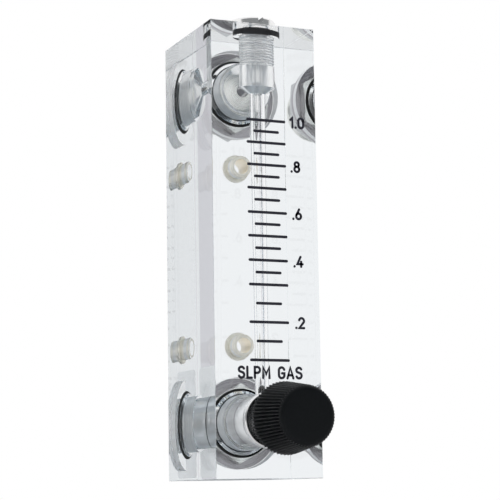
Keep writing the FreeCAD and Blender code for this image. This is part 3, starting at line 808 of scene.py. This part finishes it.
class ROTAMETER_OT_knob(bpy.types.Operator):
    """Make the fluted knob"""
    bl_idname = "rotameter.knob"
    bl_label = "Knob"

    def execute(self, context):
        chosen = settings().knob
        low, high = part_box("knob")
        back, front = high[1] / MM, low[1] / MM
        height = centre_of("knob")[2]
        slope = (KNOB_BACK - KNOB_FRONT) / (back - front)
        nose_radius = KNOB_FRONT + KNOB_NOSE * slope - KNOB_NOSE
        nose = [(front + KNOB_NOSE - KNOB_NOSE * math.cos(a), nose_radius + KNOB_NOSE * math.sin(a))
                for a in np.linspace(0.0, TURN / 4, 10)]
        span = back - front - 1.9
        flank = [(back - 0.25 - span * (1 - t), KNOB_BACK - slope * (0.25 + span * (1 - t)))
                 for t in np.linspace(0, 1, 24)]
        rim = [(back, 7.7), (back, 5.3), (back - 0.15, 5.2), (back - 3.6, 5.2),
               (back - 3.6, 1.65), (front + 1.95, 1.65), (front + 1.95, 0)]
        profile = [(front, 0), (front, 2.5)] + nose + flank + rim

        def fluted(theta, along, radius):
            """Flutes: a cosine wave round the knob, sharpened, fading out at both edges."""
            wave = (0.5 + 0.5 * np.cos(theta * chosen.flutes)) ** 1.4
            front_fade = np.clip((along - front - 0.35) / 1.0, 0.0, 1.0)
            back_fade = np.clip((back + 0.4 - along) / 0.5, 0, 1)
            fade = front_fade * (radius > 5.6) * back_fade
            return radius - chosen.flute_depth / MM * wave * fade

        shell = lathe(profile, "y", (0, 0, height), chosen.flutes * 10, fluted)
        knob = new_object("fluted_knob", [shell], 50.0)
        dark = tuple(0.75 * value for value in chosen.tone)
        light = tuple(1.6 * value for value in chosen.tone)
        paint(knob, solid_finish("moulded_black", dark, light, 180.0, 0.32, 0.5, 0.25, 0.12))
        settle(knob, "spindle", "knob_plastic", "knob")
        return {"FINISHED"}


# ------------ nodes that keep their CAD shape


class ROTAMETER_OT_hardware(bpy.types.Operator):
    """Finish the washers, nuts, inserts and valve stem"""
    bl_idname = "rotameter.hardware"
    bl_label = "Washers, Nuts, Inserts"

    def execute(self, context):
        nodes = frame["nodes"]
        metals = [
            (PORTS, "_panel_washer", "_washer_metal", (0.42, 0.40, 0.42), 7.0, 0.25, 0.45, 0.3),
            (PORTS, "_panel_nut", "_nut_metal", (0.55, 0.56, 0.57), 4.0, 0.2, 0.35, 0.2),
            (INSERTS, "_mount_insert", "_insert_brass", (0.97, 0.93, 0.84), 3.0, 0.45, 0.6, 0.2),
        ]
        for places, node, metal, tone, *marks in metals:
            for name, height in places.items():
                finish = turned_metal(name + metal, tone, (0, 0, height), Y_TO_Y, *marks)
                paint(nodes[name + node], finish)
        spot = (0, 0, centre_of("valve_stem")[2])
        paint(nodes["valve_stem"], turned_metal("stem_polished", (0.80, 0.80, 0.81), spot, Y_TO_Y,
                                                5.0, 0.12, 0.25, 0.1))
        return {"FINISHED"}


# ------------ print and label

PRINT_BACK = FRONT + 0.02 * MM
PRINT_FRONT = FRONT - 0.02 * MM
SCALE_MIDDLE = 0.37
LEGEND_PLACE = (0.4 * MM, 23.0 * MM)
# Each number: its words, its reading and its middle across the block in millimetres.
FIGURES = (("1.0", 1.0, 8.0), (".8", 0.8, 7.4), (".6", 0.6, 7.6), (".4", 0.4, 7.7),
           (".2", 0.2, 7.8))


def scale_height(value):
    """Height of a reading in millimetres, between the rows of a table of the uneven scale."""
    readings = [0.10, 0.15, 0.20, 0.25, 0.30, 0.35, 0.50, 0.60, 0.65, 0.80, 0.85, 0.95, 1.00]
    heights = [25.72, 29.87, 34.06, 38.2, 42.36, 45.07, 53.2, 58.5, 61.33, 69.23, 71.73, 76.83,
               79.37]
    return float(np.interp(value, readings, heights))


def capsule(middle_x, height, wide, thick):
    """A mark's outline: a straight bar with half round ends, in metres."""
    outline = rounded_outline(wide / 2, thick / 2, thick / 2 * 0.999, 8)
    return outline + np.array([middle_x, height])


def arc(x, y, wide, high, start, end, steps=14):
    """Points on part of an ellipse: centre plus half width cos(a), half height sin(a), with
    angles in turns."""
    angle = np.linspace(start, end, steps) * TURN
    return np.stack([x + wide * np.cos(angle), y + high * np.sin(angle)], axis=-1)


def line(*points):
    """Points joined by straight strokes."""
    return np.array(points, dtype=float)


def chain(*parts):
    """Strokes that follow on from each other."""
    return np.concatenate(parts)


# Each letter is drawn with a round pen in a box one unit high: its width and its strokes.
LETTERS = {
    "0": (0.54, [chain(arc(0.27, 0.73, 0.27, 0.27, 0, 0.5), arc(0.27, 0.27, 0.27, 0.27, 0.5, 1),
                       line((0.54, 0.73)))]),
    "1": (0.26, [line((0, 0.78), (0.22, 1), (0.22, 0))]),
    "2": (0.54, [chain(arc(0.27, 0.73, 0.27, 0.27, 0.46, -0.08), line((0.02, 0), (0.54, 0)))]),
    "4": (0.58, [line((0.36, 1), (0, 0.26), (0.58, 0.26)), line((0.42, 0.5), (0.42, 0))]),
    "6": (0.54, [arc(0.27, 0.29, 0.27, 0.29, 0, 1, 28), line((0.34, 1), (0.03, 0.42))]),
    "8": (0.54, [arc(0.27, 0.27, 0.27, 0.27, 0, 1, 28), arc(0.27, 0.77, 0.23, 0.23, 0, 1, 28)]),
    ".": (0.05, [line((0.02, 0), (0.03, 0.02))]),
    "S": (0.54, [chain(arc(0.27, 0.76, 0.26, 0.24, 0.06, 0.62),
                       arc(0.27, 0.26, 0.27, 0.26, 0.16, -0.44))]),
    "L": (0.44, [line((0, 1), (0, 0), (0.44, 0))]),
    "P": (0.52, [chain(line((0, 0), (0, 1)), arc(0.26, 0.73, 0.26, 0.27, 0.25, -0.25),
                       line((0, 0.46)))]),
    "M": (0.64, [line((0, 0), (0, 1), (0.32, 0.35), (0.64, 1), (0.64, 0))]),
    "G": (0.56, [chain(arc(0.28, 0.72, 0.28, 0.28, 0.04, 0.5), arc(0.28, 0.28, 0.28, 0.28, 0.5, 1),
                       line((0.56, 0.45), (0.32, 0.45)))]),
    "A": (0.60, [line((0, 0), (0.30, 1), (0.60, 0)), line((0.1, 0.28), (0.5, 0.28))]),
    " ": (0.34, []),
}


def stroke(path, pen):
    """A pen stroke's outline: the path moved half a pen width to each side, with round ends."""
    ahead = np.diff(path, axis=0)
    ahead = ahead / np.linalg.norm(ahead, axis=1)[:, None]
    first, last = ahead[:1], ahead[-1:]
    way = np.concatenate([first, ahead[:-1] + ahead[1:], last])
    way = way / np.linalg.norm(way, axis=1)[:, None]
    mitre = 1.0 / np.clip(np.sum(way * np.concatenate([first, ahead]), axis=1), 0.5, 1.0)
    side = np.stack([-way[:, 1], way[:, 0]], axis=-1) * mitre[:, None] * pen / 2
    angle = np.linspace(-0.25, 0.25, 9)[1:-1, None] * TURN
    head = path[-1] + half_round(angle, last[0], pen)
    tail = path[0] - half_round(angle, first[0], pen)
    return path - side, path + side, head, tail


def half_round(angle, way, pen):
    """A pen's half round end: half its width times cos(a) on the way and sin(a) across it."""
    return pen / 2 * (np.cos(angle) * way[None] + np.sin(angle) * np.array([-way[1], way[0]]))


def inked(path, pen):
    """One stroke as a thin solid on the front face, its two sides walked together as a band of
    quads."""
    low, high, head, tail = stroke(path, pen)
    count = len(path)
    flat = np.concatenate([low, high, head, tail])
    heads = 2 * count + np.arange(len(head))
    tails = 2 * count + len(head) + np.arange(len(tail))
    back_again = np.arange(2 * count - 1, count - 1, -1)
    outline = np.concatenate([np.arange(count), heads, back_again, tails])
    points = np.zeros((2 * len(flat), 3))
    points[:, [0, 2]] = np.concatenate([flat, flat])
    points[:len(flat), 1] = PRINT_BACK
    points[len(flat):, 1] = PRINT_FRONT
    i = np.arange(count - 1)
    band = np.stack([i, i + 1, count + i + 1, count + i], axis=-1)
    on = np.roll(outline, -1)
    walls = np.stack([outline, on, on + len(flat), outline + len(flat)], axis=-1)
    ends = [(count - 1, *heads, 2 * count - 1), (count, *tails, 0)]
    lids = ends + [tuple(corner + len(flat) for corner in end) for end in ends]
    return points, [band, band + len(flat), walls, lids]


def lettering(words, high, pen, centre, gap=0.3):
    """The solids of a line of letters with a given cap height, set about its middle."""
    start, strokes = 0.0, []
    for letter in words:
        width, paths = LETTERS[letter]
        strokes += [path + np.array([start, 0.0]) for path in paths]
        start += width + gap
    shift = np.array([(start - gap) / 2, 0.5])
    return [inked((path - shift) * (high - pen) + np.array(centre), pen) for path in strokes]


class ROTAMETER_OT_scale(bpy.types.Operator):
    """Print the scale, its numbers and the unit"""
    bl_idname = "rotameter.scale"
    bl_label = "Printed Scale"

    def execute(self, context):
        chosen = settings().scale
        tones = [tuple(share * value for value in chosen.ink) for share in (0.8, 1.3)]
        ink = solid_finish("screen_ink", *tones, 500.0, 0.35, 0.5, 0.1)
        marks, numbers = [], []
        for step in range(2, 21):
            wide = chosen.long_mark if step % 2 == 0 else chosen.short_mark
            height = scale_height(step * 0.05) * MM
            outline = capsule(SCALE_MIDDLE * MM, height, wide, chosen.line)
            marks.append(plate(outline, PRINT_BACK, PRINT_FRONT))
        for words, reading, centre in FIGURES:
            place = (centre * MM, scale_height(reading) * MM)
            numbers += lettering(words, chosen.figure, chosen.pen, place)
        legend = lettering(chosen.legend, chosen.capital, chosen.pen, LEGEND_PLACE, 0.32)
        prints = {"scale_marks": marks, "scale_numbers": numbers, "unit_legend": legend}
        for name, shells in prints.items():
            piece = new_object(name, shells)
            paint(piece, ink)
            settle(piece, "meter_body", "knob_plastic")
        return {"FINISHED"}


class ROTAMETER_OT_label(bpy.types.Operator):
    """Stick the bare label on the right side"""
    bl_idname = "rotameter.label"
    bl_label = "Bare Label"

    def execute(self, context):
        outline = rounded_outline(5.8 * MM, 12.6 * MM, 1.0 * MM)
        points, faces = plate(outline, 0.01 * MM, 0.09 * MM)
        places = [RIGHT + points[:, 1], points[:, 0] + 7.3 * MM, points[:, 2] + 13.3 * MM]
        label = new_object("bare_label", [(np.stack(places, axis=-1), faces)])
        film = solid_finish("white_film", (0.90, 0.90, 0.91), (0.96, 0.96, 0.97),
                            300.0, 0.4, 0.55, 0.05)
        shader = film.node_tree.nodes["Principled BSDF"]
        shader.inputs["Subsurface Weight"].default_value = 1.0
        shader.inputs["Subsurface Radius"].default_value = (1.0, 1.0, 1.0)
        shader.inputs["Subsurface Scale"].default_value = 1.0 * MM
        paint(label, film)
        settle(label, "meter_body", "satin_metal")
        return {"FINISHED"}


# ------------ the stage


def bare_material(name):
    """A material with an empty tree and its output's surface."""
    material = bpy.data.materials.new(name)
    material.use_nodes = True
    tree = material.node_tree
    tree.nodes.clear()
    return material, tree, tree.nodes.new("ShaderNodeOutputMaterial").inputs["Surface"]


def emit_material(name, tone):
    """A plain glowing surface."""
    material, tree, surface = bare_material(name)
    glow = put(tree, "ShaderNodeEmission", {"Color": (*tone, 1.0), "Strength": 1.0})
    tree.links.new(glow.outputs[0], surface)
    return material


def card(name, corners, material, hidden=()):
    """A flat studio card, hidden from the named kinds of ray."""
    mesh = bpy.data.meshes.new(name)
    mesh.from_pydata(corners, [], [(0, 1, 2, 3)])
    piece = bpy.data.objects.new(name, mesh)
    bpy.context.scene.collection.objects.link(piece)
    mesh.materials.append(material)
    for kind in hidden:
        setattr(piece, "visible_" + kind, False)


class ROTAMETER_OT_stage(bpy.types.Operator):
    """Set the floor, world, lamps and camera"""
    bl_idname = "rotameter.stage"
    bl_label = "Stage"

    def execute(self, context):
        self.floor()
        self.world()
        self.lamps()
        self.camera()
        return {"FINISHED"}

    def floor(self):
        """A pale floor that is clear from below."""
        material, tree, surface = bare_material("pale_floor")
        matt = put(tree, "ShaderNodeBsdfDiffuse", {"Color": (0.9, 0.9, 0.9, 1.0)}).outputs[0]
        clear = put(tree, "ShaderNodeBsdfTransparent").outputs[0]
        below = put(tree, "ShaderNodeNewGeometry").outputs["Backfacing"]
        mixed = put(tree, "ShaderNodeMixShader", {0: below, 1: matt, 2: clear})
        tree.links.new(mixed.outputs[0], surface)
        low, far = BLOCK_LOW[2] - 0.05 * MM, 1.5
        corners = [(-far, -far, low), (far, -far, low), (far, far, low), (-far, far, low)]
        card("floor", corners, material)

    def world(self):
        """A white world for camera, gloss and glass, and just under white for other rays."""
        world = bpy.data.worlds.new("white_room")
        world.use_nodes = True
        tree = world.node_tree
        path = tree.nodes.new("ShaderNodeLightPath").outputs
        sharp = calculate(tree, "MAXIMUM", path["Is Glossy Ray"], path["Is Transmission Ray"])
        shown = calculate(tree, "MAXIMUM", path["Is Camera Ray"], sharp)
        background = tree.nodes["Background"].inputs
        tone = blend(tree, shown, (0.95, 0.95, 0.95), (1.0, 1.0, 1.0))
        tree.links.new(tone, background["Color"])
        background["Strength"].default_value = 1.0
        bpy.context.scene.world = world

    def lamps(self):
        """Four plain cards that the camera doesn't see: a wide dark one in front, a dark one that
        the left face reflects, a dark one behind the upper port that paints shade into its bore as
        seen through the block, and a grey one at the right."""
        dark = emit_material("dark_card", (0.26, 0.27, 0.275))
        left = emit_material("left_dark", (0.15, 0.16, 0.165))
        # A dark sheet behind the upper port, seen only through the block: painted shade in the
        # port's bore.
        shade = emit_material("pipe_card", (0.12, 0.12, 0.13))
        grey = emit_material("grey_card", (0.78, 0.76, 0.79))
        low, high, behind = PORTS["upper"] - 4.2 * MM, PORTS["upper"] + 4.2 * MM, BACK + 11.4 * MM
        unseen = ("camera", "diffuse")
        for name, x0, x1, y, z0, z1, material, hidden in (
                ("front_card", -3.0, 3.0, -0.9, -0.6, 1.2, dark, ("transmission",)),
                ("left_card", -0.7, -0.2, 0.9, -0.3, 0.7, left, ("transmission", "shadow")),
                ("pipe_card", -0.0042, 0.0042, behind, low, high, shade, ("glossy", "shadow")),
                ("side_card", 0.0178, 0.04, 0.025, -0.02, 0.13, grey, ("shadow",))):
            corners = [(x0, y, z0), (x1, y, z0), (x1, y, z1), (x0, y, z1)]
            card(name, corners, material, unseen + hidden)

    def camera(self):
        """A long lens low down at the left front."""
        data = bpy.data.cameras.new("camera")
        data.sensor_width = 36.0
        data.lens = 116.96
        data.shift_y = 0.0048
        yaw, pitch, roll = math.radians(23.66), math.radians(8.41), math.radians(-0.923)
        flat = math.cos(pitch)
        look = Vector((math.sin(yaw) * flat, math.cos(yaw) * flat, math.sin(pitch)))
        level = Vector((math.cos(yaw), -math.sin(yaw), 0.0))
        upright = level.cross(look)
        side = math.cos(roll) * level + math.sin(roll) * upright
        up = -math.sin(roll) * level + math.cos(roll) * upright
        camera = bpy.data.objects.new("camera", data)
        matrix = Matrix((side, up, -look)).transposed().to_4x4()
        matrix.translation = Vector((-0.14577, -0.33784, -0.00286))
        camera.matrix_world = matrix
        bpy.context.scene.collection.objects.link(camera)
        bpy.context.scene.camera = camera
        scene = bpy.context.scene
        scene.view_settings.view_transform = "Standard"
        scene.cycles.blur_glossy = 0.0
        scene.cycles.max_bounces = 64
        scene.cycles.transmission_bounces = 64
        scene.cycles.glossy_bounces = 32
        scene.cycles.diffuse_bounces = 8
        scene.cycles.caustics_refractive = True
        scene.cycles.caustics_reflective = True


# ------------ panel and running


class ROTAMETER_PT_panel(bpy.types.Panel):
    """Lists the pieces and their settings"""
    bl_label = "Rotameter"
    bl_idname = "ROTAMETER_PT_panel"
    bl_space_type = "VIEW_3D"
    bl_region_type = "UI"
    bl_category = "Rotameter"

    def draw(self, context):
        chosen = context.scene.rotameter
        for group in (chosen.block, chosen.knob, chosen.scale):
            box = self.layout.box()
            for key in group.bl_rna.properties.keys():
                if key not in ("rna_type", "name"):
                    box.prop(group, key)
        for operator in OPERATORS:
            self.layout.operator(operator.bl_idname)


OPERATORS = (
    ROTAMETER_OT_block, ROTAMETER_OT_plug, ROTAMETER_OT_adapters, ROTAMETER_OT_seals,
    ROTAMETER_OT_float, ROTAMETER_OT_valve, ROTAMETER_OT_knob, ROTAMETER_OT_hardware,
    ROTAMETER_OT_scale, ROTAMETER_OT_label, ROTAMETER_OT_stage,
)
GROUPS = (BlockSettings, KnobSettings, ScaleSettings, RotameterSettings)
CLASSES = GROUPS + OPERATORS + (ROTAMETER_PT_panel,)


def register():
    for cls in CLASSES:
        bpy.utils.register_class(cls)
    bpy.types.Scene.rotameter = PointerProperty(type=RotameterSettings)


def unregister():
    del bpy.types.Scene.rotameter
    for cls in reversed(CLASSES):
        bpy.utils.unregister_class(cls)


def main():
    """Make every piece and the stage."""
    register()
    for operator in OPERATORS:
        group, action = operator.bl_idname.split(".")
        getattr(getattr(bpy.ops, group), action)()
    bpy.context.view_layer.update()


if __name__ == "__main__":
    main()
